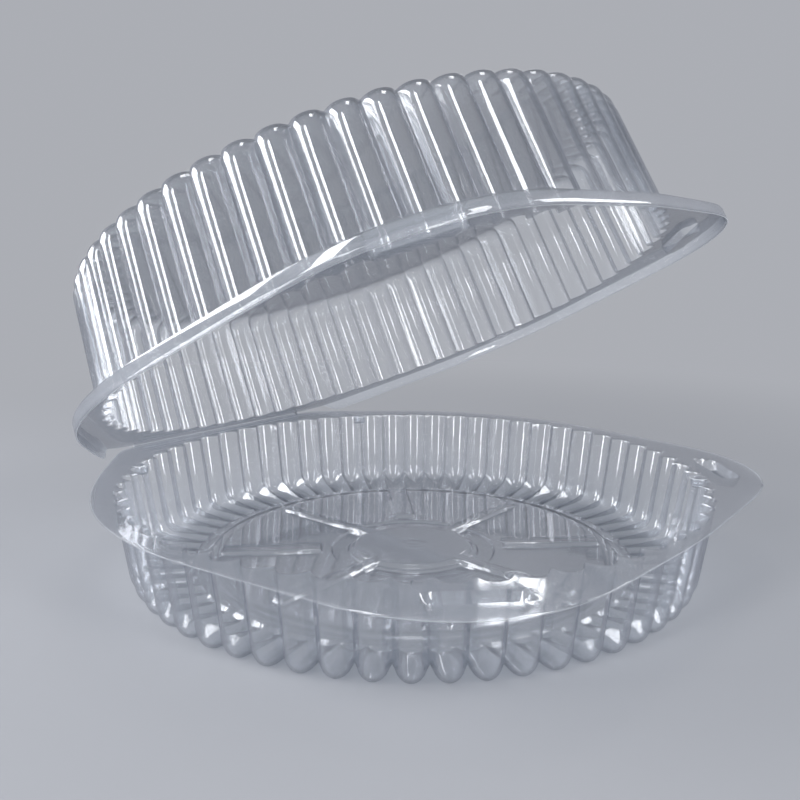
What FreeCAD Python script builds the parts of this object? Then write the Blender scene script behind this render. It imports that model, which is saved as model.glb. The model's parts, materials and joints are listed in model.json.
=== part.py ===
import FreeCAD, Part
import math
import os
from FreeCAD import Placement, Rotation, Vector

# A round hinged food pack thermoformed from clear sheet: a fluted tray and a fluted dome lid.
# The origin lies on the table under the middle of the tray, Z is up, the hinge is at the back on +Y.
# The lid is modelled closed and then turned open about the hinge line.

SIZES = [
    ("sheet_wall", 0.5, "thickness of the formed sheet"),
    ("flute_count", 60, "flutes round the tray and round the lid"),
    ("flute_facets", 3, "flat facets round the tip of a flute"),
    ("flute_tip", 5.3, "rounding radius of a flute at the tray rim"),
    ("rim_groove", 5.4, "depth of the grooves between the flutes at both rims"),
    ("tray_height", 36.0, "table to the top of the tray flange"),
    ("tray_rim_lobe", 120.0, "radius over the flutes at the tray rim"),
    ("tray_draft", 5.0, "how far the tray wall leans in from its rim to its heel"),
    ("heel_height", 6.8, "height where the tray wall starts to round under"),
    ("heel_round", 6.5, "how far the wall rounds in from the heel to the feet"),
    ("foot_length", 17.0, "length of the ribs on the table, from the feet's edge inwards"),
    ("foot_land", 0.5, "width of the unbroken ring inside the feet"),
    ("panel_height", 2.2, "height of the floor panel's underside"),
    ("disc_raise", 1.5, "height of the disc, spokes and bars above the floor panel"),
    ("disc_radius", 25.0, "radius of the raised middle disc"),
    ("spoke_overlap", 6.0, "how far a spoke reaches into the disc"),
    ("spoke_end_gap", 14.5, "end of a spoke to the ribs of the feet"),
    ("spoke_width", 5.6, "width of a spoke"),
    ("bar_turn", 45.0, "angle from a spoke to the next loose bar"),
    ("bar_start_gap", 14.0, "edge of the disc to the start of a loose bar"),
    ("bar_end_gap", 11.5, "end of a loose bar to the ribs of the feet"),
    ("bar_width", 9.0, "width of a loose bar"),
    ("flange_side", 6.8, "width of the tray's flange outside the flutes at its sides"),
    ("flange_front", 4.0, "width of the flange at the front edge"),
    ("flange_back", 6.3, "flutes to the hinge line"),
    ("lobe_reach", 25.0, "width of the flange at its front corners"),
    ("lobe_turn", 44.0, "angle of the front corners from the front"),
    ("lobe_round", 60.0, "rounding radius of the tray's front corners"),
    ("hinge_gap", 0.4, "hinge line to the edge of each flange"),
    ("hinge_half", 48.0, "half of the tray's straight hinge edge"),
    ("tray_corner_round", 26.0, "rounding radius of the tray's back corners"),
    ("lid_hinge_extra", 5.0, "how much further the lid's hinge edge runs at each end"),
    ("lid_corner_round", 30.0, "rounding radius of the lid's back corners"),
    ("skirt_clearance", 0.7, "space between the tray's edge and the lid's skirt"),
    ("skirt_depth", 5.0, "depth of the lid's skirt below its flange"),
    ("skirt_start", 5.0, "hinge line to the ends of the skirt"),
    ("face_gap", 0.3, "space between the two flanges when closed"),
    ("lid_inset", 0.5, "how much smaller the lid's rim is than the tray's"),
    ("lid_draft", 3.8, "how far the lid wall leans in from its rim to its shoulder"),
    ("lid_height", 52.0, "lid flange to the top panel"),
    ("shoulder_drop", 8.0, "top panel down to where the wall starts to round in"),
    ("cap_drop", 2.4, "top panel down to the middle of the rounding"),
    ("cap_inset", 2.6, "how far the caps have rounded in there"),
    ("cap_groove", 4.2, "depth of the grooves there"),
    ("top_inset", 8.6, "how far the caps round in before they meet the top panel"),
    ("top_groove", 2.6, "depth of the grooves there"),
    ("lug_turn", 36.0, "angle of the nesting lugs from the front and from the hinge"),
    ("lug_radius", 2.5, "inside radius of a nesting lug"),
    ("lug_depth", 3.6, "depth of a nesting lug"),
    ("lock_turn", 43.0, "angle of the locks from the front"),
    ("lock_offset", 10.0, "flutes to the middle of a lock"),
    ("lock_length", 30.0, "length of a lock's plug"),
    ("lock_width", 8.4, "width of a lock's plug"),
    ("lock_depth", 3.6, "depth of a lock's plug"),
    ("lock_clearance", 0.5, "space round and under the plug in its pocket"),
    ("bead_width", 1.2, "width of the stiffening bead beside the hinge line"),
    ("bead_height", 0.7, "height of the stiffening bead"),
    ("bead_inset", 3.2, "hinge line to the far side of the bead"),
    ("open_angle", 26.0, "how far the lid stands open"),
]

document = FreeCAD.newDocument("round_pack")


# Sheet of sizes

def make_sheet():
    sheet = document.addObject("Spreadsheet::Sheet", "Sizes")
    for row, (alias, value, note) in enumerate(SIZES, start=1):
        sheet.set("A%d" % row, note)
        sheet.set("B%d" % row, str(value))
        sheet.setAlias("B%d" % row, alias)
    document.recompute()
    return sheet


sizes = make_sheet()


def value(alias):
    return float(sizes.get(alias))


WALL = value("sheet_wall")
FLUTES = int(value("flute_count"))
PITCH = 360.0 / FLUTES
FACETS = int(value("flute_facets"))
GROOVE_WALL = 1.8 * WALL
RIM = value("tray_rim_lobe")
HINGE = RIM + value("flange_back")
FOOT_INNER = RIM - value("tray_draft") - value("heel_round") - value("foot_length")


# Small helpers

def polar(radius, degrees, height=0.0):
    turn = math.radians(degrees)
    return Vector(radius * math.cos(turn), radius * math.sin(turn), height)


def bind(item, **expressions):
    for key, text in expressions.items():
        item.setExpression(key, text)


def feature(name, shape):
    item = document.addObject("Part::Feature", name)
    item.Shape = shape
    return item


def fuse(name, items):
    joined = document.addObject("Part::MultiFuse", name)
    joined.Shapes = items
    return joined


def cut(name, base, tool):
    result = document.addObject("Part::Cut", name)
    result.Base = base
    result.Tool = tool
    return result


# Fluted rings: each flute is a straight flank, a tip of flat facets and a straight flank

def flute_points(middle, lobe, cusp, tip, height):
    centre = polar(lobe - tip, middle, height)
    groove = polar(cusp, middle - PITCH / 2, height)
    reach = groove - centre
    lean = math.degrees(math.acos(tip / reach.Length))
    start = math.degrees(math.atan2(reach.y, reach.x)) + lean
    span = 2 * ((middle - start + 180) % 360 - 180)
    return [groove] + [centre + polar(tip, start + span * step / FACETS) for step in range(FACETS + 1)]


def fluted_ring(lobe, cusp, tip, height):
    points = []
    for index in range(FLUTES):
        points += flute_points(90 + (index + 0.5) * PITCH, lobe, cusp, tip, height)
    return points


def flat_faces(first, second, third, fourth):
    twist = (second - first).cross(fourth - first).dot(third - first)
    if abs(twist) < 1e-7:
        return [Part.Face(Part.makePolygon([first, second, third, fourth, first]))]
    return [Part.Face(Part.makePolygon([first, second, third, first])),
            Part.Face(Part.makePolygon([first, third, fourth, first]))]


def fluted_body(name, rings):
    loops = [fluted_ring(*ring) for ring in rings]
    faces = [Part.Face(Part.makePolygon(loop + loop[:1])) for loop in (loops[0], loops[-1])]
    for lower, upper in zip(loops, loops[1:]):
        for index in range(len(lower)):
            after = (index + 1) % len(lower)
            faces += flat_faces(lower[index], lower[after], upper[after], upper[index])
    shell = Part.makeShell(faces)
    shell.sewShape()
    solid = Part.makeSolid(shell)
    if solid.Volume < 0:
        solid.reverse()
    return feature(name, solid)


def ring(lobe, cusp, height):
    return (lobe, cusp, value("flute_tip") * lobe / RIM, height)


def straight_ring(lobe, height):
    return ring(lobe, lobe * (RIM - value("rim_groove")) / RIM, height)


def thinned(section, lift, groove):
    lobe, cusp, tip, height = section
    return (lobe - WALL, cusp - groove, tip - WALL, height + lift)


# Flange outlines: a belt wrapped round circles, given anticlockwise

def belt(circles, height):
    count = len(circles)
    normals = []
    for index in range(count):
        (ax, ay, ar), (bx, by, br) = circles[index], circles[(index + 1) % count]
        along = math.atan2(by - ay, bx - ax)
        normals.append(along - math.acos((ar - br) / math.hypot(bx - ax, by - ay)))
    edges = []
    for index, (x, y, radius) in enumerate(circles):
        start = normals[index - 1]
        finish = normals[index]
        while finish < start:
            finish += 2 * math.pi
        middle = (start + finish) / 2
        points = [Vector(x + radius * math.cos(turn), y + radius * math.sin(turn), height)
                  for turn in (start, middle, finish)]
        edges.append(Part.Arc(*points).toShape())
        nx, ny, nr = circles[(index + 1) % count]
        ahead = Vector(nx + nr * math.cos(finish), ny + nr * math.sin(finish), height)
        edges.append(Part.LineSegment(points[2], ahead).toShape())
    return Part.Wire(edges)


def outline_circles(grow, corner_half, corner_round):
    front = RIM + value("flange_front") + grow
    side = RIM + value("flange_side") + grow
    round_middle = (0, side - front, side)
    lobe = value("lobe_round") + grow
    turn = math.radians(value("lobe_turn"))
    lobe_middle = RIM + value("lobe_reach") - value("lobe_round")
    lobe_x = lobe_middle * math.sin(turn)
    lobe_y = -lobe_middle * math.cos(turn)
    corner_y = HINGE - value("hinge_gap") - corner_round
    return [
        (lobe_x, lobe_y, lobe),
        round_middle,
        (corner_half, corner_y, corner_round),
        (-corner_half, corner_y, corner_round),
        round_middle,
        (-lobe_x, lobe_y, lobe),
        round_middle,
    ]


def plate(name, circles, low, thick_expression):
    outline = feature(name + "_outline", belt(circles, low))
    flat = document.addObject("Part::Extrusion", name)
    flat.Base = outline
    flat.DirMode = "Custom"
    flat.Dir = Vector(0, 0, 1)
    flat.Solid = True
    bind(flat, LengthFwd=thick_expression)
    return flat


# Floor panel with its raised disc, spokes and bars; the inside is one sheet thicker all round

def radial_bar(name, turn, inner, outer, width, margin):
    box = document.addObject("Part::Box", name)
    box.Length = outer - inner + 2 * margin
    bind(
        box,
        Width="Sizes.%s + 2 * %s" % (width, margin),
        Height="Sizes.panel_height + Sizes.disc_raise + %s" % margin,
    )
    corner = polar(inner - margin, turn) - polar(value(width) / 2 + margin, turn + 90)
    box.Placement = Placement(corner, Rotation(Vector(0, 0, 1), turn))
    return box


def raised_floor(name, margin):
    disc_radius = value("disc_radius")
    panel = document.addObject("Part::Prism", name + "_panel")
    panel.Circumradius = FOOT_INNER - value("foot_land") + margin
    bind(panel, Polygon="Sizes.flute_count", Height="Sizes.panel_height + %s" % margin)
    panel.Placement = Placement(Vector(0, 0, 0), Rotation(Vector(0, 0, 1), PITCH / 2))
    disc = document.addObject("Part::Cylinder", name + "_disc")
    bind(
        disc,
        Radius="Sizes.disc_radius + %s" % margin,
        Height="Sizes.panel_height + Sizes.disc_raise + %s" % margin,
    )
    parts = [panel, disc]
    spoke_span = (disc_radius - value("spoke_overlap"), FOOT_INNER - value("spoke_end_gap"))
    bar_span = (disc_radius + value("bar_start_gap"), FOOT_INNER - value("bar_end_gap"))
    for index in range(4):
        spoke = 90 * index
        bar = spoke + value("bar_turn")
        parts.append(radial_bar("%s_spoke_%d" % (name, index), spoke, *spoke_span, "spoke_width", margin))
        parts.append(radial_bar("%s_bar_%d" % (name, index), bar, *bar_span, "bar_width", margin))
    return fuse(name, parts)


# Nesting lugs and locks

def lugs(name, top, margin):
    parts = []
    turn = value("lug_turn")
    for index, angle in enumerate((90 - turn, 90 + turn, 270 - turn, 270 + turn)):
        lug = document.addObject("Part::Prism", "%s_%d" % (name, index))
        lug.Polygon = 8
        bind(lug, Circumradius="Sizes.lug_radius + %s" % margin, Height="Sizes.lug_depth + %s" % margin)
        base = polar(RIM - value("rim_groove") / 2, angle, top - value("lug_depth") - margin)
        lug.Placement = Placement(base, Rotation(Vector(0, 0, 1), angle))
        parts.append(lug)
    return parts


def locks(name, top, margin, deeper):
    parts = []
    for index, angle in enumerate((270 - value("lock_turn"), 270 + value("lock_turn"))):
        box = document.addObject("Part::Box", "%s_%d" % (name, index))
        bind(
            box,
            Length="Sizes.lock_width + 2 * %s" % margin,
            Width="Sizes.lock_length + 2 * %s" % margin,
            Height="Sizes.lock_depth + %s" % deeper,
        )
        corner = polar(RIM + value("lock_offset") - value("lock_width") / 2 - margin, angle)
        corner -= polar(value("lock_length") / 2 + margin, angle + 90)
        corner += Vector(0, 0, top - value("lock_depth") - deeper)
        box.Placement = Placement(corner, Rotation(Vector(0, 0, 1), angle))
        parts.append(box)
    return parts


def hinge_bead(name, base_height):
    bead = document.addObject("Part::Box", name)
    bind(bead, Length="2 * Sizes.hinge_half", Width="Sizes.bead_width", Height="Sizes.bead_height")
    spot = Vector(-value("hinge_half"), HINGE - value("bead_inset"), base_height)
    bead.Placement = Placement(spot, Rotation())
    return bead


# Tray

def tray_rings():
    heel = RIM - value("tray_draft")
    return [
        ring(heel - value("heel_round"), FOOT_INNER, 0.0),
        straight_ring(heel, value("heel_height")),
        straight_ring(RIM, value("tray_height")),
    ]


def tray_cavity_rings():
    foot, heel, rim = tray_rings()
    return [
        thinned(foot, WALL, -WALL),
        thinned(heel, 0, GROOVE_WALL),
        thinned(rim, 0, GROOVE_WALL),
    ]


def make_tray():
    top = value("tray_height")
    room = value("lock_clearance")
    outer = fluted_body("tray_outside", tray_rings())
    circles = outline_circles(0.0, value("hinge_half"), value("tray_corner_round"))
    flange = plate("tray_flange", circles, top - WALL, "Sizes.sheet_wall")
    bead = hinge_bead("tray_bead", top - WALL - value("bead_height"))
    cups = lugs("tray_lug_cup", top, WALL) + locks("tray_lock_cup", top, room + WALL, room + WALL)
    solid = fuse("tray_solid", [outer, flange, bead] + cups)
    solid = cut("tray_outline", solid, raised_floor("tray_underside", 0.0))
    cavity = fluted_body("tray_cavity_body", tray_cavity_rings())
    cavity = cut("tray_cavity", cavity, raised_floor("tray_floor", WALL))
    pockets = lugs("tray_lug_pocket", top, 0.0) + locks("tray_lock_pocket", top, room, room)
    hollow = fuse("tray_hollow", [cavity] + pockets)
    tray = cut("tray_shell", solid, hollow)
    tray.Label = "base_tray"
    return tray


# Lid, modelled closed

def lid_rings(floor):
    rim = RIM - value("lid_inset")
    wall = rim - value("lid_draft")
    cap = wall - value("cap_inset")
    end = wall - value("top_inset")
    top = floor + value("lid_height")
    return [
        straight_ring(rim, floor),
        straight_ring(wall, top - value("shoulder_drop")),
        ring(cap, cap - value("cap_groove"), top - value("cap_drop")),
        ring(end, end - value("top_groove"), top),
    ]


def lid_cavity_rings(floor):
    rim, wall, cap, top = lid_rings(floor)
    return [
        thinned(rim, 0, GROOVE_WALL),
        thinned(wall, -0.2 * WALL, GROOVE_WALL),
        thinned(cap, -0.8 * WALL, WALL),
        thinned(top, -WALL, 0.6 * WALL),
    ]


def make_skirt(low):
    grow = value("skirt_clearance") + WALL
    half = value("hinge_half") + value("lid_hinge_extra")
    rounding = value("lid_corner_round")
    bottom = low - value("skirt_depth")
    outside = Part.Face(belt(outline_circles(grow, half, rounding), bottom))
    inside = Part.Face(belt(outline_circles(grow - WALL, half - WALL / 2, rounding - WALL / 2), bottom))
    height = Vector(0, 0, value("skirt_depth") + WALL)
    band = outside.extrude(height).cut(inside.extrude(height))
    corner = Vector(-2 * HINGE, -3 * HINGE - value("skirt_start"), -HINGE)
    keep = Part.makeBox(4 * HINGE, 4 * HINGE, 4 * HINGE, corner)
    return feature("lid_skirt", band.common(keep))


def make_lid():
    floor = value("tray_height") + value("face_gap")
    grow = value("skirt_clearance") + WALL
    outer = fluted_body("lid_outside", lid_rings(floor))
    half = value("hinge_half") + value("lid_hinge_extra")
    circles = outline_circles(grow, half, value("lid_corner_round"))
    flange = plate("lid_flange", circles, floor, "Sizes.sheet_wall")
    bead = hinge_bead("lid_bead", floor + WALL)
    plugs = locks("lid_lock_plug", floor, 0.0, 0.0)
    solid = fuse("lid_solid", [outer, flange, make_skirt(floor), bead] + plugs)
    cavity = fluted_body("lid_cavity", lid_cavity_rings(floor))
    hollow = fuse("lid_hollow", [cavity] + locks("lid_lock_hollow", floor + WALL, -WALL, 0.0))
    lid = cut("lid_shell", solid, hollow)
    lid.Label = "dome_lid"
    return lid


def open_lid(lid):
    axis_point = Vector(0, HINGE, value("tray_height") + value("face_gap") / 2)
    lid.Placement = Placement(Vector(0, 0, 0), Rotation(Vector(-1, 0, 0), value("open_angle")), axis_point)


# Checks and files

def check(nodes):
    for item in document.Objects:
        if "Invalid" in item.State or "Error" in item.State:
            raise RuntimeError("failed object: " + item.Name)
    for node in nodes:
        if node.Shape.isNull() or not node.Shape.isValid():
            raise RuntimeError("bad shape: " + node.Label)


def write(nodes):
    os.makedirs("parts", exist_ok=True)
    for node in nodes:
        node.Shape.exportStep("parts/%s.step" % node.Label)
        print(node.Label, "solids", len(node.Shape.Solids), "volume", round(node.Shape.Volume / 1000, 2), "cm3")


def main():
    tray = make_tray()
    lid = make_lid()
    open_lid(lid)
    document.recompute()
    check([tray, lid])
    write([tray, lid])


main()
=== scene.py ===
import json
import math
from types import SimpleNamespace

import bpy
import numpy as np
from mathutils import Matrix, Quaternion, Vector


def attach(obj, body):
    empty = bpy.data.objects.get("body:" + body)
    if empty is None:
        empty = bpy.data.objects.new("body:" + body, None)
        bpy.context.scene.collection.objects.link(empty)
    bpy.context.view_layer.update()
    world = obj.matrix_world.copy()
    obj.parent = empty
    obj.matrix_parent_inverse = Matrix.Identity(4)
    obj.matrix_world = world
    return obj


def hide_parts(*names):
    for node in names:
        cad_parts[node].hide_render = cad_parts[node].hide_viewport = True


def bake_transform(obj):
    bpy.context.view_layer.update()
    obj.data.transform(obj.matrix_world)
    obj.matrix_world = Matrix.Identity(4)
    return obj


bl_info = {
    "name": "Hinged Round Food Pack",
    "version": (1, 0, 0),
    "blender": (4, 5, 0),
    "location": "View3D > Sidebar > Food Pack",
    "description": "Builds a clear hinged round food pack of formed sheet round its frame",
    "category": "Object",
}

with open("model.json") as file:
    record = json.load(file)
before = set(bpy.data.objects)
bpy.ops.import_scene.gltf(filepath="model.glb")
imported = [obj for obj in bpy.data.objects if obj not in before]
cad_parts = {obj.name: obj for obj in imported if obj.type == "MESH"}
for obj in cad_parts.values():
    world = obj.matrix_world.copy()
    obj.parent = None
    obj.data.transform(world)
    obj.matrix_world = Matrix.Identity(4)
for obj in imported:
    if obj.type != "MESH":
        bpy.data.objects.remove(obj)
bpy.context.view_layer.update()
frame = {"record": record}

MM = 0.001
FOLD = frame["record"]["behaviour"]["joints"][0]["pos_m"]
FOLD_Y = FOLD[1] / MM
FOLD_Z = FOLD[2] / MM

SHARP_ANGLE = math.radians(35.0)
# Share of the pale milky layer on the small pieces: partly faint milkiness, partly painted light
PLAIN_HAZE_AND_LIGHT = 0.3

# Half the width in mm of the slopes on the floor: beside bars, at their ends, round the disc and at the moat
SIDE_SLOPE = 0.45
END_SLOPE = 0.5
DISC_SLOPE = 0.9
MOAT_SLOPE = 0.4

# The camera in metres, at the photo's viewing angle
CAMERA_PLACE = (-0.27105, -0.22079, 0.13162)
CAMERA_AHEAD = (0.75184, 0.63319, -0.18386)
CAMERA_ROLL = math.radians(-0.21)
CAMERA_ANGLE = math.radians(49.93)
CAMERA_NEAR = 0.01


# Sizes and colours; the main sizes are those of the frame's own solids

def length(name, description, millimetres):
    return bpy.props.FloatProperty(name=name, description=description, default=millimetres * MM, unit="LENGTH",
                                   precision=4)


def angle(name, description, degrees):
    return bpy.props.FloatProperty(name=name, description=description, default=math.radians(degrees), subtype="ANGLE")


def colour(name, description, default):
    return bpy.props.FloatVectorProperty(name=name, description=description, default=default, subtype="COLOR")


class PackSizes(bpy.types.PropertyGroup):
    wall: length("Sheet", "Thickness of the formed sheet", 0.5)
    flutes: bpy.props.IntProperty(name="Flutes", description="Flutes round the tray and the lid", default=60)
    columns: bpy.props.IntProperty(name="Columns", description="Mesh columns in one flute", default=12)
    flute_tip: length("Flute tip", "Rounding radius of a flute at the tray rim", 5.3)
    rim_groove: length("Groove depth", "Depth of the grooves at the rims", 5.4)
    groove_round: length("Groove rounding", "Rounding of the grooves between flutes", 0.55)
    tray_height: length("Tray height", "Table to the top of the tray flange", 36.0)
    tray_rim: length("Tray rim", "Radius over the flutes at the tray rim", 120.0)
    tray_draft: length("Tray draft", "How far the tray wall leans in from rim to heel", 5.0)
    heel_round: length("Heel rounding", "How far the wall rounds in from the heel to the feet", 6.5)
    foot_length: length("Foot length", "Length of the ribs on the table", 17.0)
    crown_bend: length("Crown bend", "How far from the heel's corner the crowns start to round under", 8.0)
    crown_run: length("Crown run", "Heel to the first row of the crowns on the table", 10.9)
    heel_groove: length("Heel groove", "Depth of the grooves where they turn under", 5.0)
    heel_groove_height: length("Heel groove height", "Height where the grooves turn under", 6.4)
    heel_groove_bend: length("Heel groove bend", "How far from that turn the grooves start to round", 2.2)
    foot_groove: length("Foot groove", "Heel to the middle of the grooves between the ribs", 12.9)
    foot_groove_height: length("Foot groove height", "Height of the grooves there", 4.2)
    foot_groove_drop: length("Foot groove drop", "How far below the panel the grooves end at the foot ring", 0.7)
    rim_bend: length("Rim bend", "How far from the corner the walls round into the flanges", 0.9)
    groove_lift: length("Groove lift", "How much the grooves run out at a rim's corner", 0.15)
    panel_height: length("Panel height", "Height of the floor panel's underside", 2.2)
    disc_raise: length("Disc raise", "Height of the disc, spokes and bars above the panel", 1.5)
    disc_radius: length("Disc radius", "Radius of the raised middle disc", 25.0)
    moat_start: length("Moat start", "Edge of the disc to the start of the moat round it", 2.4)
    moat_end: length("Moat end", "Edge of the disc to the end of the moat", 9.5)
    moat_depth: length("Moat depth", "Depth of the moat below the panel", 0.9)
    step_inset: length("Step inset", "Ribs of the feet to the step in the panel", 6.5)
    step_depth: length("Step depth", "Depth of the step in the panel", 0.7)
    spoke_end_gap: length("Spoke end gap", "End of a spoke to the ribs of the feet", 14.5)
    spoke_width: length("Spoke width", "Width of a spoke", 5.6)
    bar_start_gap: length("Bar start gap", "Edge of the disc to the start of a loose bar", 14.0)
    bar_end_gap: length("Bar end gap", "End of a loose bar to the ribs of the feet", 11.5)
    bar_width: length("Bar width", "Width of a loose bar", 9.0)
    flange_side: length("Flange side", "Width of the flange at the sides", 6.8)
    flange_front: length("Flange front", "Width of the flange at the front", 4.0)
    lobe_reach: length("Corner reach", "Width of the flange at its front corners", 25.0)
    lobe_turn: angle("Corner angle", "Angle of the front corners from the front", 44.0)
    lobe_round: length("Corner rounding", "Rounding radius of the front corners", 60.0)
    hinge_gap: length("Hinge gap", "Hinge line to the edge of each flange", 0.4)
    hinge_half: length("Hinge half", "Half of the tray's straight hinge edge", 48.0)
    tray_corner: length("Tray corner", "Rounding radius of the tray's back corners", 26.0)
    lid_hinge_extra: length("Lid hinge extra", "How much further the lid's hinge edge runs", 5.0)
    lid_corner: length("Lid corner", "Rounding radius of the lid's back corners", 30.0)
    skirt_clearance: length("Skirt clearance", "Space between the tray's edge and the skirt", 0.7)
    skirt_depth: length("Skirt depth", "Depth of the skirt below the lid's flange", 5.0)
    face_gap: length("Flange gap", "Space between the closed flanges", 0.3)
    lid_inset: length("Lid inset", "How much smaller the lid's rim is than the tray's", 0.5)
    lid_draft: length("Lid draft", "How far the lid wall leans in up to its shoulder", 3.8)
    lid_height: length("Lid height", "Lid flange to the top panel", 52.0)
    cap_round: length("Cap rounding", "How far from the corner the caps start to round", 8.6)
    cap_lift: length("Cap lift", "How far the caps rise over the top panel", 0.3)
    cap_lean: length("Cap lean", "How far the caps lean in from the wall", 0.2)
    cap_ring: length("Cap ring", "Wall to the ring where the caps end on the top panel", 19.0)
    cap_groove: length("Cap groove", "How much deeper the grooves are at the caps", 0.5)
    cap_groove_drop: length("Cap groove drop", "How far below the top panel the grooves turn in", 0.9)
    cap_groove_bend: length("Cap groove bend", "How far from that turn the grooves start to round", 3.6)
    open_angle: angle("Lid opening", "How far the lid stands open", 26.0)
    lock_turn: angle("Lock angle", "Angle of the locks from the front", 43.0)
    lock_offset: length("Lock offset", "Flutes to the middle of a lock", 10.0)
    lock_length: length("Lock length", "Length of a lock's plug", 30.0)
    lock_width: length("Lock width", "Width of a lock's plug", 8.4)
    lock_depth: length("Lock depth", "Depth of a lock's plug", 3.6)
    lock_room: length("Lock room", "Space round the plug in its pocket", 0.5)
    lug_turn: angle("Lug angle", "Angle of the nesting lugs from the front and from the hinge", 36.0)
    lug_radius: length("Lug radius", "Inside radius of a nesting lug", 2.5)
    lug_depth: length("Lug depth", "Depth of a nesting lug", 3.6)
    bead_width: length("Bead width", "Width of a stiffening bead beside the hinge", 1.2)
    bead_height: length("Bead height", "Height of a stiffening bead", 0.7)
    bead_inset: length("Bead inset", "Hinge line to the far side of the first bead", 3.2)


class PackColours(bpy.types.PropertyGroup):
    # Pale milky colour: a faint random part is the sheet's own, the rest is painted light that brightens the flanges,
    # the skirt and the flange's edge as if lit
    haze_and_light: colour("Sheet haze", "Colour of the faint haze in the sheet", (0.80, 0.84, 0.90))
    # Painted shade: the dark colour mixed into the sheet towards grazing views, darkening it where it is seen on edge
    edge: colour("Sheet edge", "Colour where the sheet is seen on edge", (0.045, 0.055, 0.085))
    # Painted highlight: the pale colour mixed into the cut edges so that they show as bright lines
    rim: colour("Cut edge", "Colour of the frost on the cut edges", (0.90, 0.93, 0.97))
    floor: colour("Floor", "Colour of the floor and backdrop", (0.38, 0.392, 0.425))


# Shader nodes written as sums

class Socket:
    """One output socket; sums on it add Math nodes"""

    def __init__(self, tree, link):
        self.tree = tree
        self.link = link

    def _math(self, operation, first, second):
        return self.tree.node("ShaderNodeMath", {"operation": operation}, {0: first, 1: second})

    def __add__(self, other):
        return self._math("ADD", self, other)

    __radd__ = __add__

    def __mul__(self, other):
        return self._math("MULTIPLY", self, other)

    __rmul__ = __mul__

    def __sub__(self, other):
        return self._math("SUBTRACT", self, other)

    def __rsub__(self, other):
        return self._math("SUBTRACT", other, self)

    def __pow__(self, other):
        return self._math("POWER", self, other)


class Shader:
    """A material and its node tree"""

    def __init__(self, name):
        self.material = bpy.data.materials.new(name)
        self.material.use_nodes = True
        self.nodes = self.material.node_tree.nodes
        self.links = self.material.node_tree.links
        self.nodes.clear()

    def node(self, kind, settings=None, values=None, output=0):
        """Adds a node: first its settings, then the value or the link of each socket named; returns one output."""
        made = self.nodes.new(kind)
        for key, value in (settings or {}).items():
            setattr(made, key, value)
        for key, value in (values or {}).items():
            if isinstance(value, Socket):
                self.links.new(value.link, made.inputs[key])
            else:
                made.inputs[key].default_value = value
        return Socket(self, made.outputs[output])

    def finish(self, surface):
        """Links the surface to the output and returns the material."""
        out = self.nodes.new("ShaderNodeOutputMaterial")
        self.links.new(surface.link, out.inputs["Surface"])
        return self.material


def rgba(colour):
    """A colour with full alpha, as sockets take it."""
    return (*colour, 1.0)


def clear_sheet(name, haze_and_light, edge):
    """Clear sheet: see-through, with a mirror share that grows towards grazing views, and painted shade: a dark
    colour mixed in more towards grazing views, which darkens the sheet where it is seen on edge.
    A per-point attribute, 0 to 1, mixes in a pale milky layer: a faint random part everywhere, and more by rows, most
    on the flanges, the skirt and the flange's edge, where it is painted light that brightens them as if lit.
    To shadow rays it is plain see-through, so the table keeps a light shadow."""
    shader = Shader(name)
    place = shader.node("ShaderNodeTexCoord", output="Object")
    facing = shader.node("ShaderNodeLayerWeight", values={"Blend": 0.5}, output="Facing")
    waves = shader.node("ShaderNodeTexNoise", {"noise_dimensions": "3D"},
                        {"Vector": place, "Scale": 60.0, "Detail": 2.0, "Roughness": 0.5})
    bump = shader.node("ShaderNodeBump", values={"Strength": 0.06, "Distance": 0.0005, "Height": waves})
    clear = shader.node("ShaderNodeBsdfTransparent", values={"Color": (0.985, 0.988, 0.992, 1.0)})
    mirror = shader.node("ShaderNodeBsdfPrincipled", values={
        "Base Color": (0.96, 0.97, 1.0, 1.0), "Metallic": 1.0, "Roughness": 0.06, "Normal": bump})
    # Painted shade: a dark colour, mixed in more towards grazing views, darkens the sheet where it is seen on edge
    painted_edge_shade = shader.node("ShaderNodeBsdfPrincipled", values={
        "Base Color": rgba(edge), "Roughness": 0.25, "Normal": bump})
    # Pale milky layer: partly the sheet's own faint random milkiness, partly painted light on the flanges, the skirt
    # and the flange's edge
    mist_and_painted_light = shader.node("ShaderNodeBsdfPrincipled", values={
        "Base Color": rgba(haze_and_light), "Roughness": 0.45, "Normal": bump})
    grazing = facing ** 3.0
    film = shader.node("ShaderNodeMixShader", values={0: 0.055 + 0.85 * grazing, 1: clear, 2: mirror})
    # Mix share of the painted edge shade: small face on, large at grazing views
    film = shader.node("ShaderNodeMixShader", values={0: 0.004 + 0.75 * grazing, 1: film, 2: painted_edge_shade})
    # Per-point share of the pale layer, set row by row: painted light, most on the skirt and the flange's edge, then
    # on the flanges
    haze_and_light_rows = shader.node("ShaderNodeAttribute", {"attribute_name": "haze_and_light"}, output="Fac")
    haze_and_light_mix = 0.008 + 0.018 * waves + haze_and_light_rows * (0.05 + 0.13 * waves)
    film = shader.node("ShaderNodeMixShader", values={0: haze_and_light_mix, 1: film, 2: mist_and_painted_light})
    shadow = shader.node("ShaderNodeLightPath", output="Is Shadow Ray")
    shade = shader.node("ShaderNodeBsdfTransparent", values={"Color": (0.86, 0.87, 0.88, 1.0)})
    return shader.finish(shader.node("ShaderNodeMixShader", values={0: shadow, 1: film, 2: shade}))


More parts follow.
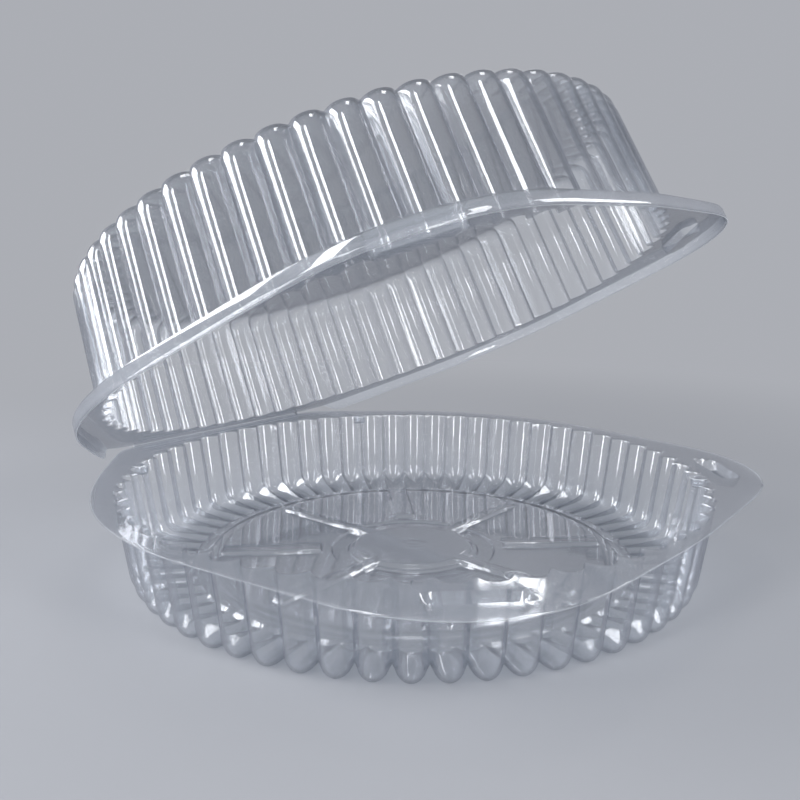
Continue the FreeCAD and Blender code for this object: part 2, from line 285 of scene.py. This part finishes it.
def cut_edge(name, haze_and_light):
    """Cut edge of the sheet: clear, with a pale colour mixed in as a painted highlight that makes the edge show as a
    bright line, finely uneven along its length.
    """
    shader = Shader(name)
    place = shader.node("ShaderNodeTexCoord", output="Object")
    grain = shader.node("ShaderNodeTexNoise", values={"Vector": place, "Scale": 900.0, "Detail": 1.0})
    clear = shader.node("ShaderNodeBsdfTransparent", values={"Color": (0.97, 0.975, 0.985, 1.0)})
    # Painted highlight: a pale colour, mixed in at about half, makes the cut edge show as a bright line
    painted_edge_highlight = shader.node("ShaderNodeBsdfPrincipled", values={"Base Color": rgba(haze_and_light), "Roughness": 0.35})
    return shader.finish(shader.node("ShaderNodeMixShader", values={0: 0.45 + 0.25 * grain, 1: clear, 2: painted_edge_highlight}))


# Meshes from grids of points

def grid_faces(rows, columns, wrap):
    """Quads of a grid stored row by row: face (i, j) has the corners (i, j), (i, j+1), (i+1, j+1), (i+1, j)."""
    across = columns if wrap else columns - 1
    i, j = np.meshgrid(np.arange(rows - 1), np.arange(across), indexing="ij")
    after = (j + 1) % columns
    quads = np.stack([i * columns + j, i * columns + after, (i + 1) * columns + after, (i + 1) * columns + j], -1)
    return quads.reshape(-1, 4)


def mesh_object(name, points, faces, triangles=None, haze_and_light=PLAIN_HAZE_AND_LIGHT):
    """A mesh from an (n, 3) array in mm and an (m, 4) array of quads, with a fan of triangles if given; the share of
    the pale milky layer, partly painted light, is one value, or one for each point."""
    mesh = bpy.data.meshes.new(name)
    polygons = faces.tolist() + ([] if triangles is None else triangles.tolist())
    mesh.from_pydata((points * MM).tolist(), [], polygons)
    # Per-point share of the pale milky layer, which is partly painted light
    cloud = mesh.attributes.new("haze_and_light", "FLOAT", "POINT")
    cloud.data.foreach_set("value", np.broadcast_to(haze_and_light, len(points)).astype(np.float32))
    mesh.validate()
    mesh.polygons.foreach_set("use_smooth", np.ones(len(mesh.polygons), bool))
    mesh.set_sharp_from_angle(angle=SHARP_ANGLE)
    item = bpy.data.objects.new(name, mesh)
    bpy.context.scene.collection.objects.link(item)
    return item


def thicken(item, thickness):
    """Gives a sheet its thickness in mm, half to each side, with the second material on its cut edges."""
    wall = item.modifiers.new("wall", "SOLIDIFY")
    wall.thickness = thickness * MM
    wall.offset = 0.0
    wall.material_offset_rim = 1
    return item


# Curves and sections in mm

def rounded(corners, steps):
    """A path through corners (r, z, rounding): straight runs, and at each rounded corner a parabola that starts and
    ends that far from it; every corner gives the same number of points on any path with the same steps."""
    corners = np.asarray(corners, float)
    haze_and_light_mix = corners[:, :2]
    out = [haze_and_light_mix[0]]
    for index in range(1, len(corners) - 1):
        here, reach, count = haze_and_light_mix[index], corners[index, 2], steps[index]
        if count <= 1:
            out.append(here)
            continue
        back, ahead = haze_and_light_mix[index - 1] - here, haze_and_light_mix[index + 1] - here
        start = here + back / np.linalg.norm(back) * min(reach, 0.49 * np.linalg.norm(back))
        finish = here + ahead / np.linalg.norm(ahead) * min(reach, 0.49 * np.linalg.norm(ahead))
        t = np.linspace(0, 1, count)[:, None]
        out.extend((1 - t) ** 2 * start + 2 * t * (1 - t) * here + t ** 2 * finish)
    out.append(haze_and_light_mix[-1])
    return np.array(out)


def flute_share(turns, sizes):
    """Share of the way from groove (0) to crown (1): a circle of radius tip, and its tangent through the groove.
    circle r = c cos(a) + sqrt(tip^2 - c^2 sin^2(a)) with c = lobe - tip; line r = (c cos(n) + tip) / cos(a - n)."""
    pitch = 2 * np.pi / sizes.flutes
    phase = np.abs((turns / pitch) % 1.0 - 0.5) * pitch
    lobe, tip = sizes.tray_rim, sizes.flute_tip
    cusp = lobe - sizes.rim_groove
    middle = lobe - tip
    half = pitch / 2
    reach = math.hypot(cusp * math.cos(half) - middle, cusp * math.sin(half))
    normal = math.atan2(cusp * math.sin(half), cusp * math.cos(half) - middle) - math.acos(tip / reach)
    touch = math.atan2(tip * math.sin(normal), middle + tip * math.cos(normal))
    circle = middle * np.cos(phase) + np.sqrt(np.maximum(tip ** 2 - (middle * np.sin(phase)) ** 2, 0))
    line = (middle * math.cos(normal) + tip) / np.cos(phase - normal)
    share = (np.where(phase < touch, circle, line) - cusp) / (lobe - cusp)
    soft = sizes.groove_round / sizes.rim_groove
    return np.sqrt(share ** 2 + soft ** 2) / math.sqrt(1 + soft ** 2)


def on_line(start, finish, height):
    """The point (r, z, 0) at a height on the straight run between two corners."""
    share = (height - start[1]) / (finish[1] - start[1])
    return start[0] + (finish[0] - start[0]) * share, height, 0


def row_haze_and_light(columns, *runs):
    """Share of the pale milky layer, partly painted light, for the points of polar rows and their middle point, from
    runs (first value, last value, rows): it goes evenly from the first row of a run to its last, and is the same all
    round."""
    rows = np.concatenate([np.linspace(first, last, count) for first, last, count in runs])
    return np.append(np.repeat(rows, columns), rows[0])


def smooth_step(values, start, finish):
    """0 before start, 1 after finish, and 3 t^2 - 2 t^3 between them."""
    t = np.clip((values - start) / (finish - start), 0, 1)
    return t * t * (3 - 2 * t)


def belt_outline(circles):
    """Points of a belt round circles (x, y, r) given anticlockwise: arcs joined by their outer tangents."""
    circles = np.asarray(circles, float)
    ahead = np.roll(circles, -1, axis=0)
    gap = ahead[:, :2] - circles[:, :2]
    along = np.arctan2(gap[:, 1], gap[:, 0])
    finish = along - np.arccos((circles[:, 2] - ahead[:, 2]) / np.hypot(gap[:, 0], gap[:, 1]))
    start = np.roll(finish, 1)
    finish = start + (finish - start) % (2 * np.pi)
    t = np.linspace(0, 1, 60)
    turn = start[:, None] + (finish - start)[:, None] * t
    x = circles[:, 0:1] + circles[:, 2:3] * np.cos(turn)
    y = circles[:, 1:2] + circles[:, 2:3] * np.sin(turn)
    return np.stack([x.ravel(), y.ravel()], -1)


def outline_radius(turns, sizes, grow, corner_half, corner_round):
    """Distance from the middle to the flange's edge at each angle, in mm: read off a dense belt, then smoothed by
    a bell curve 4 degrees wide everywhere but at the straight hinge edge."""
    front = sizes.tray_rim + sizes.flange_front + grow
    side = sizes.tray_rim + sizes.flange_side + grow
    reach = sizes.tray_rim + sizes.lobe_reach - sizes.lobe_round
    lobe_x, lobe_y = reach * math.sin(sizes.lobe_turn), -reach * math.cos(sizes.lobe_turn)
    middle = (0, side - front, side)
    corner_y = FOLD_Y - sizes.hinge_gap - corner_round
    points = belt_outline([
        (lobe_x, lobe_y, sizes.lobe_round + grow), middle,
        (corner_half, corner_y, corner_round), (-corner_half, corner_y, corner_round), middle,
        (-lobe_x, lobe_y, sizes.lobe_round + grow), middle])
    fine = np.linspace(0, 1, 40, endpoint=False)
    after = np.roll(points, -1, axis=0)
    dense = (points[:, None] + (after - points)[:, None] * fine[:, None]).reshape(-1, 2)
    angles = np.arctan2(dense[:, 1], dense[:, 0]) % (2 * np.pi)
    order = np.argsort(angles)
    edge = np.interp(turns % (2 * np.pi), angles[order], np.hypot(*dense.T)[order], period=2 * np.pi)
    waves = np.arange(len(turns) // 2 + 1)
    soft = np.fft.irfft(np.fft.rfft(edge) * np.exp(-(waves * math.radians(4.0)) ** 2 / 2), len(turns))
    return edge + (soft - edge) * (1 - smooth_step(np.sin(turns), 0.75, 0.90))


def fluted_skin(share, lobe_path, cusp_path):
    """Rows of (radius, height): groove path + share * (crown path - groove path)."""
    radius = cusp_path[:, 0:1] + (lobe_path[:, 0:1] - cusp_path[:, 0:1]) * share[None, :]
    height = cusp_path[:, 1:2] + (lobe_path[:, 1:2] - cusp_path[:, 1:2]) * share[None, :]
    return radius, height


def spread(turns, radius, height):
    """Points (radius cos, radius sin, height) of polar rows."""
    return np.stack([radius * np.cos(turns), radius * np.sin(turns), np.broadcast_to(height, radius.shape)], -1)


def lock_turns(sizes):
    """Angles of the two locks, one each side of the front."""
    return 1.5 * np.pi - sizes.lock_turn, 1.5 * np.pi + sizes.lock_turn


def flange_rows(turns, sizes, rim, edge, near, far):
    """Radii of the flange's rows: rim + knot * (edge - rim), and beside each lock, from 15 down to 8 degrees away,
    drawn over to straight rows r cos(a) = line, so that the rows follow the lock's long sides."""
    knots = np.array([0.18, 0.24, 0.30, 0.40, 0.52, 0.62, 0.70, 0.76, 0.90])
    lines = np.array([near, near + 0.5, near + 0.9, near + 3.2, far - 3.2, far - 0.9, far - 0.5, far, far + 4.5])
    rows = rim[None, :] + (edge - rim)[None, :] * knots[:, None]
    for spot in lock_turns(sizes):
        away = np.abs((turns - spot + np.pi) % (2 * np.pi) - np.pi)
        pull = 1 - smooth_step(away, math.radians(8.0), math.radians(15.0))
        straight = lines[:, None] / np.cos(np.minimum(away, 0.5))[None, :]
        rows = rows + (straight - rows) * pull[None, :]
    return rows


def lid_turned(points, angle):
    """Closed lid points turned open about the fold: y' = Y + u cos + w sin, z' = Z - u sin + w cos."""
    u, w = points[..., 1] - FOLD_Y, points[..., 2] - FOLD_Z
    out = points.copy()
    out[..., 1] = FOLD_Y + u * math.cos(angle) + w * math.sin(angle)
    out[..., 2] = FOLD_Z - u * math.sin(angle) + w * math.cos(angle)
    return out


def sheet_turns(sizes):
    """Angles of the mesh columns, even all round, and the flute share of each."""
    count = sizes.flutes * sizes.columns
    turns = np.arange(count) / count * 2 * np.pi
    return turns, flute_share(turns, sizes)


def lock_dent(turns, sizes, radius, room):
    """1 inside the lock's long rounded shape, falling to 0 over its sloped sides: the distance from the shape's
    middle line, which is the lock's length less its width, against half the width."""
    half = sizes.lock_width / 2 + room
    straight = (sizes.lock_length - sizes.lock_width) / 2
    slope = 0.9
    total = np.zeros_like(radius)
    for spot in lock_turns(sizes):
        away = (turns - spot + np.pi) % (2 * np.pi) - np.pi
        along = np.maximum(np.abs(radius * np.sin(away)) - straight, 0)
        across = radius * np.cos(away) - sizes.tray_rim - sizes.lock_offset
        total = total + (1 - smooth_step(np.hypot(along, across), half - slope, half)) * (np.abs(away) < 0.5)
    return total


def ramp(values, middle, half):
    """A smooth step up from 0 to 1, from half before the middle to half after it."""
    return smooth_step(values, middle - half, middle + half)


def bar_ridge(turns, radius, width, start, end):
    """1 on a radial bar, 0 beside it: a step up and a step down along the bar, times a step down across it; turns
    are counted from the bar."""
    sides = 1 - ramp(np.abs(radius * np.sin(turns)), width / 2, SIDE_SLOPE)
    along = radius * np.cos(turns)
    return sides * ramp(along, start, END_SLOPE) * (1 - ramp(along, end, END_SLOPE))


def floor_height(turns, radius, sizes, base):
    """Height of the floor: the base, plus the raise on the disc, the four spokes and the four loose bars, less the
    moat round the disc and the step beside the ribs of the feet."""
    quarter = np.pi / 2
    inner = foot_inner(sizes)
    disc = sizes.disc_radius
    to_spoke = (turns + quarter / 2) % quarter - quarter / 2
    to_bar = turns % quarter - quarter / 2
    spokes = bar_ridge(to_spoke, radius, sizes.spoke_width, -1.0, inner - sizes.spoke_end_gap)
    bars = bar_ridge(to_bar, radius, sizes.bar_width, disc + sizes.bar_start_gap, inner - sizes.bar_end_gap)
    ridges = np.maximum(spokes, bars)
    plate = 1 - ramp(radius, disc, DISC_SLOPE)
    moat = ramp(radius, disc + sizes.moat_start, MOAT_SLOPE) * (1 - ramp(radius, disc + sizes.moat_end, END_SLOPE))
    step = ramp(radius, inner - sizes.step_inset, END_SLOPE)
    raised = sizes.disc_raise * np.maximum(ridges, plate)
    return base + raised - sizes.moat_depth * moat * (1 - ridges) - sizes.step_depth * step


def slope_rows(middle, half):
    """Three rows at the start, the middle and the end of a step."""
    return middle - half, middle, middle + half


def foot_inner(sizes):
    """Radius where the ribs of the feet end and the floor panel starts."""
    return sizes.tray_rim - sizes.tray_draft - sizes.heel_round - sizes.foot_length


def tray_points(sizes):
    """Polar rows of the tray's middle surface, from the floor out to the flange's edge, with the floor's middle
    point and the share of the pale milky layer, partly painted light, of each point: flat rings raised by the floor's
    figure, then the fluted wall between a crown section and a groove section, then rings from the rim to the outline,
    sunk at the locks."""
    turns, share = sheet_turns(sizes)
    half = sizes.wall / 2
    top = sizes.tray_height - half
    panel = sizes.panel_height + half
    inner = foot_inner(sizes)
    disc = sizes.disc_radius
    radii = np.sort(np.concatenate([
        (6.0, 12.0, 18.0, disc - 2.5, disc - 0.4, disc + 0.4, disc + 5.5),
        (disc + 20.0, disc + 27.0, disc + 35.0, disc + 43.0, inner - 3.0, inner - 0.8),
        slope_rows(disc, DISC_SLOPE),
        slope_rows(disc + sizes.moat_start, MOAT_SLOPE),
        slope_rows(disc + sizes.moat_end, END_SLOPE),
        slope_rows(disc + sizes.bar_start_gap, END_SLOPE),
        slope_rows(inner - sizes.spoke_end_gap, END_SLOPE),
        slope_rows(inner - sizes.bar_end_gap, END_SLOPE),
        slope_rows(inner - sizes.step_inset, END_SLOPE)]))
    floor_radius = np.repeat(radii[:, None], len(turns), axis=1)
    floor_z = floor_height(turns[None, :], floor_radius, sizes, panel)
    rim, heel = sizes.tray_rim - half, sizes.tray_rim - sizes.tray_draft - half
    groove = rim - sizes.rim_groove + sizes.groove_lift
    steps = [1, 1, 8, 4, 1]
    lobe = rounded([(inner + 0.4, half, 0), (heel - sizes.crown_run, half, 0), (heel, half, sizes.crown_bend),
                    (rim, top, sizes.rim_bend), (rim + 1.45, top, 0)], steps)
    cusp = rounded([(inner + 0.2, panel - sizes.foot_groove_drop, 0),
                    (heel - sizes.foot_groove, sizes.foot_groove_height, 0),
                    (heel - sizes.heel_groove, sizes.heel_groove_height, sizes.heel_groove_bend),
                    (groove, top, sizes.rim_bend), (groove + 1.5, top, 0)], steps)
    radius, height = fluted_skin(share, lobe, cusp)
    edge = outline_radius(turns, sizes, 0.0, sizes.hinge_half, sizes.tray_corner)
    middle = sizes.tray_rim + sizes.lock_offset
    room = sizes.lock_width / 2 + sizes.lock_room
    shelf = flange_rows(turns, sizes, radius[-1], edge, middle - room, middle + room)
    dent = lock_dent(turns[None, :], sizes, shelf, sizes.lock_room)
    shelf_z = top - (sizes.lock_depth + sizes.lock_room) * dent
    lip = np.stack([radius[-1] + (edge - radius[-1]) * 0.985, edge])
    lip_z = np.stack([0 * edge + top, 0 * edge + top - 0.35])
    radius = np.concatenate([floor_radius, radius, shelf, lip])
    height = np.concatenate([floor_z, height, shelf_z, lip_z])
    # Pale milky layer by rows, partly painted light: none on the floor, a little on the ribs, rising up the rim, more
    # at the heel and on the flange, and most on the flange's edge, which it brightens as if lit
    floor, ribs, heel_turn, rim_turn = (0.0, 0.0, len(radii)), (0.1, 0.1, 2), (0.35, 0.15, 8), (0.0, 0.3, 4)
    flange, edge_turn = (0.35, 0.35, 1 + len(shelf)), (0.8, 0.8, 2)
    haze_and_light = row_haze_and_light(len(turns), floor, ribs, heel_turn, rim_turn, flange, edge_turn)
    return spread(turns[None, :], radius, height), np.array([0.0, 0.0, panel + sizes.disc_raise]), haze_and_light


def close_pole(points, centre):
    """Polar rows with their middle point and its fan of triangles; returns points, quads and triangles."""
    rows, columns = points.shape[:2]
    flat = np.concatenate([points.reshape(-1, 3), [centre]])
    j = np.arange(columns)
    fan = np.stack([np.full(columns, rows * columns), j, (j + 1) % columns], -1)
    return flat, grid_faces(rows, columns, True), fan


def lid_points(sizes):
    """Polar rows of the closed lid's middle surface, from the top's middle out to the skirt's edge, with the middle
    point and the share of the pale milky layer, partly painted light, of each point: flat rings, then the fluted wall
    between a crown section and a groove section, then rings from the rim to the outline, sunk at the locks, and the
    skirt, which fades out at the fold."""
    turns, share = sheet_turns(sizes)
    half = sizes.wall / 2
    floor = sizes.tray_height + sizes.face_gap + half
    panel = sizes.lid_height - sizes.wall
    rim = sizes.tray_rim - sizes.lid_inset - half
    wall = rim - sizes.lid_draft
    groove = rim - sizes.rim_groove + sizes.groove_lift
    radii = np.array([20, 50, 75, 90, wall - sizes.cap_ring - 1.0])
    ring = (wall - sizes.cap_ring, panel, 0)
    crown, crown_foot = (wall - sizes.cap_lean, panel + sizes.cap_lift, sizes.cap_round), (rim, 0, sizes.rim_bend)
    dip = (wall - sizes.rim_groove - sizes.cap_groove, panel - sizes.cap_groove_drop, sizes.cap_groove_bend)
    dip_foot = (groove, 0, sizes.rim_bend)
    clear_from = 0.7 * panel
    steps = [1, 12, 1, 4, 1]
    lobe = rounded([ring, crown, on_line(crown, crown_foot, clear_from), crown_foot, (rim + 1.35, 0, 0)], steps)
    cusp = rounded([ring, dip, on_line(dip, dip_foot, clear_from), dip_foot, (groove + 1.4, 0, 0)], steps)
    radius, height = fluted_skin(share, lobe, cusp)
    top_radius = np.repeat(radii[:, None], len(turns), axis=1)
    top_z = np.full_like(top_radius, panel)
    edge = outline_radius(turns, sizes, sizes.skirt_clearance + half, sizes.hinge_half + sizes.lid_hinge_extra,
                          sizes.lid_corner)
    middle, room = sizes.tray_rim + sizes.lock_offset, sizes.lock_width / 2
    shelf = flange_rows(turns, sizes, radius[-1], edge - 0.6, middle - room, middle + room)
    dent = lock_dent(turns[None, :], sizes, shelf, 0.0)
    shelf_z = -(sizes.lock_depth - 0.2) * dent
    deep = 1 - smooth_step(edge * np.sin(turns), FOLD_Y - 9.0, FOLD_Y - 4.0)
    skirt_r = np.stack([edge - 0.6, edge - 0.18, edge, edge, edge + 0.05 * deep])
    skirt_z = np.stack([0 * edge, -0.18 * deep, -0.7 * deep, -3.0 * deep, -sizes.skirt_depth * deep])
    radius = np.concatenate([top_radius, radius, shelf, skirt_r])
    height = np.concatenate([top_z, height, shelf_z, skirt_z])
    # Pale milky layer by rows, partly painted light: faint on the top, more on the caps and rising round the rim, and
    # most on the flange and the skirt, which it brightens as if lit
    top, ring_row = (0.05, 0.05, len(radii)), (0.1, 0.1, 1)
    cap, cap_end, wall_row = (0.25, 0.30, 8), (0.25, 0.15, 4), (0.0, 0.0, 1)
    rim_turn, flange, skirt = (0.1, 0.4, 4), (0.5, 0.5, 1 + len(shelf)), (0.8, 0.8, len(skirt_r))
    haze_and_light = row_haze_and_light(len(turns), top, ring_row, cap, cap_end, wall_row, rim_turn, flange, skirt)
    return spread(turns[None, :], radius, height + floor), np.array([0.0, 0.0, panel + floor]), haze_and_light


def lug_points(sizes, turn):
    """A nesting lug in the tray's rim: a cup section turned about the upright line through the rim at that angle."""
    count = 24
    turns = np.linspace(0, 2 * np.pi, count, endpoint=False)
    inside = sizes.lug_radius + sizes.wall / 2
    path = rounded([(inside * 0.4, -sizes.lug_depth, 0), (inside, -sizes.lug_depth, 0.8), (inside + 0.1, 0, 0.4),
                    (inside + 0.8, 0.1, 0)], [1, 4, 3, 1])
    rows = spread(turns[None, :], np.repeat(path[:, :1], count, axis=1), path[:, 1:])
    reach = sizes.tray_rim - sizes.rim_groove / 2
    spot = np.array([reach * math.cos(turn), reach * math.sin(turn), sizes.tray_height - sizes.wall / 2])
    return rows + spot, spot - np.array([0.0, 0.0, sizes.lug_depth])


def bead_points(sizes, inset, level, rise):
    """A low ridge along X beside the hinge line: z = level + rise * sin(pi t) across its width."""
    t = np.linspace(0, 1, 7)
    x = np.linspace(-sizes.hinge_half - 2.0, sizes.hinge_half + 2.0, 25)
    grid = np.zeros((len(t), len(x), 3))
    grid[..., 0] = x[None, :]
    grid[..., 1] = FOLD_Y - inset + (sizes.bead_width * t)[:, None]
    grid[..., 2] = level + (rise * np.sin(np.pi * t))[:, None]
    return grid


def web_points(sizes):
    """Fold web: a cubic curve from the tray's flange to the opened lid's flange, carried along X; returns the grid
    and the curve's two ends."""
    half = sizes.wall / 2
    start = np.array([FOLD_Y - 1.6, sizes.tray_height - half])
    lid = lid_turned(np.array([[0.0, FOLD_Y - 1.6, sizes.tray_height + sizes.face_gap + half],
                               [0.0, FOLD_Y + 0.9, sizes.tray_height + sizes.face_gap + half]]), sizes.open_angle)
    finish, far = lid[0, 1:], lid[1, 1:]
    bend = np.array([FOLD_Y + 0.9, sizes.tray_height - half])
    t = np.linspace(0, 1, 13)[:, None]
    path = (1 - t) ** 3 * start + 3 * (1 - t) ** 2 * t * bend + 3 * (1 - t) * t ** 2 * far + t ** 3 * finish
    x = np.linspace(-sizes.hinge_half - 4.0, sizes.hinge_half + 4.0, 41)
    grid = np.zeros((len(path), len(x), 3))
    grid[..., 0] = x[None, :]
    grid[..., 1] = path[:, 0:1]
    grid[..., 2] = path[:, 1:2]
    return grid, start, finish


# Operators

def in_mm(group):
    """The sizes as plain numbers: lengths in mm, to a tenth of a micron, and angles and counts as they are."""
    found = {}
    for key in group.__annotations__:
        value = getattr(group, key)
        found[key] = round(value / MM, 4) if group.bl_rna.properties[key].unit == "LENGTH" else value
    return SimpleNamespace(**found)


def dress(item, context):
    """Gives a piece the clear sheet and the cut edge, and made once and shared."""
    colours = context.scene.pack_colours
    sheet, rim = "clear_formed_sheet", "cut_sheet_edge"
    item.data.materials.append(bpy.data.materials.get(sheet) or clear_sheet(sheet, colours.haze_and_light, colours.edge))
    item.data.materials.append(bpy.data.materials.get(rim) or cut_edge(rim, colours.rim))
    return item


class MakeTray(bpy.types.Operator):
    """Builds the fluted tray"""
    bl_idname = "pack.make_tray"
    bl_label = "Tray"

    def execute(self, context):
        sizes = in_mm(context.scene.pack_sizes)
        rows, middle, haze_and_light = tray_points(sizes)
        tray = thicken(mesh_object("tray_sheet", *close_pole(rows, middle), haze_and_light=haze_and_light), sizes.wall)
        dress(tray, context)
        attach(tray, "tray")
        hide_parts("base_tray")
        return {"FINISHED"}


class MakeLid(bpy.types.Operator):
    """Builds the fluted dome lid"""
    bl_idname = "pack.make_lid"
    bl_label = "Lid"

    def execute(self, context):
        sizes = in_mm(context.scene.pack_sizes)
        rows, middle, haze_and_light = lid_points(sizes)
        closed = close_pole(lid_turned(rows, sizes.open_angle), lid_turned(middle, sizes.open_angle))
        lid = thicken(mesh_object("lid_sheet", *closed, haze_and_light=haze_and_light), sizes.wall)
        dress(lid, context)
        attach(lid, "lid")
        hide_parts("dome_lid")
        return {"FINISHED"}


class MakeLugs(bpy.types.Operator):
    """Builds the tray's nesting lugs"""
    bl_idname = "pack.make_lugs"
    bl_label = "Nesting lugs"

    def execute(self, context):
        sizes = in_mm(context.scene.pack_sizes)
        for index, turn in enumerate((0.5 * np.pi - sizes.lug_turn, 0.5 * np.pi + sizes.lug_turn,
                                      1.5 * np.pi - sizes.lug_turn, 1.5 * np.pi + sizes.lug_turn)):
            lug = mesh_object("tray_lug_%d" % index, *close_pole(*lug_points(sizes, turn)))
            dress(thicken(lug, sizes.wall * 0.6), context)
            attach(lug, "tray")
            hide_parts("base_tray")
        return {"FINISHED"}


class MakeBeads(bpy.types.Operator):
    """Builds the beads beside the fold"""
    bl_idname = "pack.make_beads"
    bl_label = "Beads"

    def execute(self, context):
        sizes = in_mm(context.scene.pack_sizes)
        half = sizes.wall / 2
        floor = sizes.tray_height + sizes.face_gap + half
        for index, inset in enumerate((sizes.bead_inset, sizes.bead_inset + 2.4)):
            tray = bead_points(sizes, inset, sizes.tray_height - half, -sizes.bead_height)
            lid = lid_turned(bead_points(sizes, inset, floor, sizes.bead_height), sizes.open_angle)
            for body, node, grid in (("tray", "base_tray", tray), ("lid", "dome_lid", lid)):
                bead = mesh_object("%s_bead_%d" % (body, index), grid.reshape(-1, 3),
                                   grid_faces(*grid.shape[:2], False))
                dress(thicken(bead, sizes.wall * 0.6), context)
                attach(bead, body)
                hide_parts(node)
        return {"FINISHED"}


class MakeWeb(bpy.types.Operator):
    """Builds the web along the fold"""
    bl_idname = "pack.make_web"
    bl_label = "Fold web"

    def execute(self, context):
        sizes = in_mm(context.scene.pack_sizes)
        grid, start, finish = web_points(sizes)
        item = mesh_object("fold_web", grid.reshape(-1, 3), grid_faces(*grid.shape[:2], False))
        dress(thicken(item, 0.3), context)
        start[0] * MM
        start[1] * MM
        finish[0] * MM
        finish[1] * MM
        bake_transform(item)
        return {"FINISHED"}


def area_lamp(name, place, target, width, height, power):
    """A soft rectangular lamp turned to a target, in metres and watts."""
    lamp = bpy.data.lights.new(name, "AREA")
    lamp.shape = "RECTANGLE"
    lamp.size = width
    lamp.size_y = height
    lamp.energy = power
    item = bpy.data.objects.new(name, lamp)
    item.location = place
    item.rotation_mode = "QUATERNION"
    item.rotation_quaternion = (Vector(target) - Vector(place)).to_track_quat("-Z", "Y")
    bpy.context.scene.collection.objects.link(item)


class MakeStage(bpy.types.Operator):
    """Builds the floor, the lamps and the camera"""
    bl_idname = "pack.make_stage"
    bl_label = "Stage"

    def execute(self, context):
        self.floor(context.scene.pack_colours)
        self.lamps(context)
        self.camera(context)
        context.scene.view_settings.view_transform = "Standard"
        context.scene.cycles.transparent_max_bounces = 64
        context.scene.cycles.max_bounces = 6
        context.scene.cycles.glossy_bounces = 3
        context.scene.cycles.diffuse_bounces = 2
        return {"FINISHED"}

    def floor(self, colours):
        """A flat round floor whose rim curves up, z = (r - flat)^2 in metres beyond the flat part; away from the
        pack it is an even tone."""
        count = 96
        flat = 3.0
        turns = np.linspace(0, 2 * np.pi, count, endpoint=False)
        radii = np.array([0.4, 1.0, 2.0, flat, 3.3, 3.6, 4.0, 4.4, 4.8])[:, None]
        height = np.maximum(radii - flat, 0.0) ** 2
        rows = spread(turns[None, :], np.repeat(radii, count, axis=1), height) / MM
        item = mesh_object("floor", *close_pole(rows, np.zeros(3)))
        shader = Shader("pale_floor")
        near = shader.node("ShaderNodeBsdfPrincipled", values={
            "Base Color": rgba(colours.floor), "Roughness": 0.6, "Specular IOR Level": 0.2})
        far = shader.node("ShaderNodeEmission", values={"Color": rgba(colours.floor), "Strength": 1.08})
        place = shader.node("ShaderNodeTexCoord", output="Object")
        away = shader.node("ShaderNodeVectorMath", {"operation": "LENGTH"}, {0: place}, output=1)
        fade = shader.node("ShaderNodeMapRange", {"interpolation_type": "SMOOTHSTEP"},
                           {"Value": away, "From Min": 0.22, "From Max": 0.60})
        item.data.materials.append(shader.finish(
            shader.node("ShaderNodeMixShader", values={0: fade, 1: near, 2: far})))

    def lamps(self, context):
        """A dim even room, four soft lamps round the pack for its streaks, a small one behind and one above."""
        world = bpy.data.worlds.new("soft_room")
        world.use_nodes = True
        room = world.node_tree.nodes["Background"]
        room.inputs["Color"].default_value = (0.92, 0.95, 1.0, 1.0)
        room.inputs["Strength"].default_value = 0.10
        context.scene.world = world
        area_lamp("left_lamp", (-0.72, 0.98, 0.55), (0, 0, 0.08), 0.85, 0.55, 14.0)
        area_lamp("right_lamp", (0.92, -0.80, 0.50), (0, 0, 0.08), 0.5, 0.5, 5.0)
        area_lamp("front_left_lamp", (-1.02, 0.05, 0.50), (0, 0, 0.06), 0.22, 0.9, 7.0)
        area_lamp("front_right_lamp", (-0.02, -1.05, 0.50), (0, 0, 0.06), 0.22, 0.9, 6.5)
        area_lamp("back_lamp", (1.0, 0.58, 0.56), (0, 0, 0.0), 0.12, 0.03, 0.08)
        area_lamp("top_lamp", (0.15, 0.15, 1.4), (0, 0, 0.05), 0.28, 0.28, 2.0)

    def camera(self, context):
        """The photo's viewing angle: a place, a direction and a small roll about it."""
        lens = bpy.data.cameras.new("camera")
        lens.angle = CAMERA_ANGLE
        lens.clip_start = CAMERA_NEAR
        item = bpy.data.objects.new("camera", lens)
        item.location = CAMERA_PLACE
        item.rotation_mode = "QUATERNION"
        ahead = Vector(CAMERA_AHEAD)
        roll = Quaternion(ahead.normalized(), CAMERA_ROLL)
        item.rotation_quaternion = roll @ ahead.to_track_quat("-Z", "Y")
        context.scene.collection.objects.link(item)
        context.scene.camera = item


class PackPanel(bpy.types.Panel):
    """Lists the pieces of the pack"""
    bl_idname = "VIEW3D_PT_food_pack"
    bl_label = "Food Pack"
    bl_space_type = "VIEW_3D"
    bl_region_type = "UI"
    bl_category = "Food Pack"

    def draw(self, context):
        for group in (context.scene.pack_sizes, context.scene.pack_colours):
            for key in group.__annotations__:
                self.layout.prop(group, key)
        for operator in OPERATORS:
            self.layout.operator(operator.bl_idname)


OPERATORS = (MakeTray, MakeLid, MakeLugs, MakeBeads, MakeWeb, MakeStage)
CLASSES = (PackSizes, PackColours, *OPERATORS, PackPanel)


def register():
    """Adds the classes and hangs both groups on the scene."""
    for item in CLASSES:
        bpy.utils.register_class(item)
    bpy.types.Scene.pack_sizes = bpy.props.PointerProperty(type=PackSizes)
    bpy.types.Scene.pack_colours = bpy.props.PointerProperty(type=PackColours)


def unregister():
    """Takes the groups and the classes away again."""
    del bpy.types.Scene.pack_colours
    del bpy.types.Scene.pack_sizes
    for item in reversed(CLASSES):
        bpy.utils.unregister_class(item)


def main():
    register()
    bpy.ops.pack.make_tray()
    bpy.ops.pack.make_lid()
    bpy.ops.pack.make_lugs()
    bpy.ops.pack.make_beads()
    bpy.ops.pack.make_web()
    bpy.ops.pack.make_stage()


if __name__ == "__main__":
    main()
